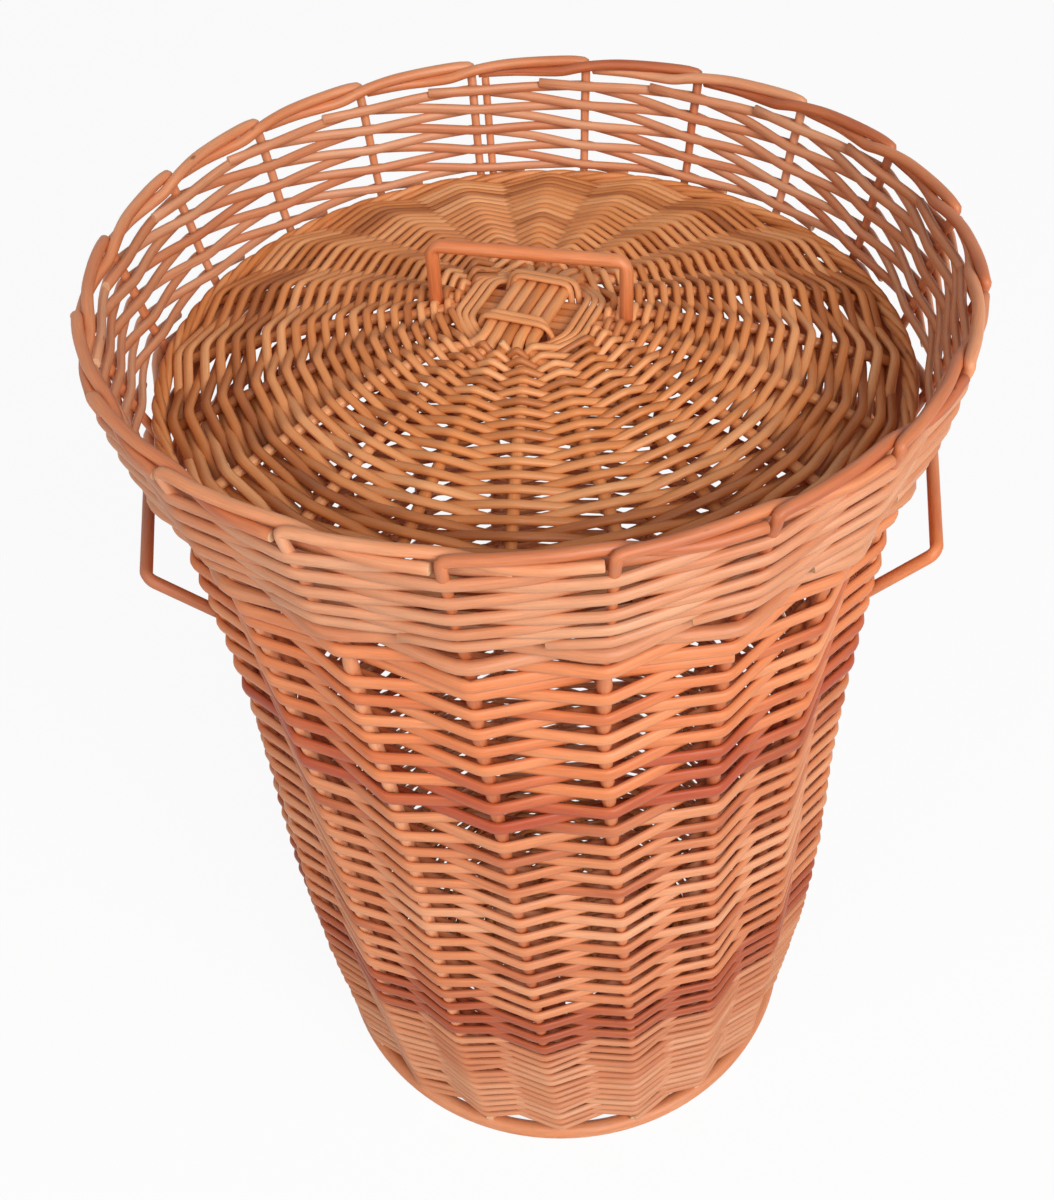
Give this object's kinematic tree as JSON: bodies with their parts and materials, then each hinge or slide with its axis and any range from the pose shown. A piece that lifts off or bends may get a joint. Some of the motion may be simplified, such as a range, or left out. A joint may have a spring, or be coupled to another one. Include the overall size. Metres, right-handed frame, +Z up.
{
  "type": "lidded laundry basket",
  "caption": "Tall round laundry basket woven of peeled willow rods, with an open collar, a plaited border, two side handles and a domed lift-off lid that drops inside the collar.",
  "frame": {"origin": "on the basket's axis at the underside of the foot ring, which stands on the floor", "axes": "+Z up along the axis; -Y is the front, as in the picture; +X towards the handle on the picture's right"},
  "size_m": [0.442, 0.442, 0.5999],
  "materials": {
    "peach_willow": "satin peeled willow",
    "pale_willow": "satin peeled willow",
    "orange_willow": "satin peeled willow",
    "red_willow": "satin peeled willow",
    "tan_willow": "satin peeled willow"
  },
  "bodies": {
    "basket": {"stake_01": "peach_willow", "stake_02": "peach_willow", "stake_03": "peach_willow", "stake_04": "peach_willow", "stake_05": "peach_willow", "stake_06": "peach_willow", "stake_07": "peach_willow", "stake_08": "peach_willow", "stake_09": "peach_willow", "stake_10": "peach_willow", "stake_11": "peach_willow", "stake_12": "peach_willow", "stake_13": "peach_willow", "stake_14": "peach_willow", "stake_15": "peach_willow", "stake_16": "peach_willow", "stake_17": "peach_willow", "stake_18": "peach_willow", "stake_19": "peach_willow", "stake_20": "peach_willow", "foot_weaver_1": "pale_willow", "foot_weaver_2": "pale_willow", "ankle_weaver_1": "pale_willow", "ankle_weaver_2": "pale_willow", "hip_weaver_1": "red_willow", "hip_weaver_2": "red_willow", "lower_weaver_1": "peach_willow", "lower_weaver_2": "peach_willow", "waist_weaver_1": "peach_willow", "waist_weaver_2": "peach_willow", "shoulder_weaver_1": "orange_willow", "shoulder_weaver_2": "orange_willow", "upper_weaver_1": "orange_willow", "upper_weaver_2": "orange_willow", "ledge_rod_upper": "pale_willow", "ledge_rod_lower": "pale_willow", "collar_weaver_1": "pale_willow", "collar_weaver_2": "pale_willow", "foot_ring": "peach_willow", "base_slath": "tan_willow", "base_tie": "tan_willow", "base_weaver_1": "tan_willow", "base_weaver_2": "tan_willow", "side_handle_right": "orange_willow", "side_handle_left": "red_willow"},
    "lid": {"lid_stick_01": "tan_willow", "lid_stick_02": "tan_willow", "lid_stick_03": "tan_willow", "lid_stick_04": "tan_willow", "lid_stick_05": "tan_willow", "lid_stick_06": "tan_willow", "lid_stick_07": "tan_willow", "lid_stick_08": "tan_willow", "lid_stick_09": "tan_willow", "lid_stick_10": "tan_willow", "lid_tie": "peach_willow", "lid_weaver_1": "tan_willow", "lid_weaver_2": "tan_willow", "lid_border": "tan_willow", "lid_handle": "orange_willow"}
  },
  "joints": [
    {"name": "lid_lift", "type": "slide", "parent": "basket", "child": "lid", "axis": [0, 0, 1], "range_m": [0, 0.3]}
  ]
}
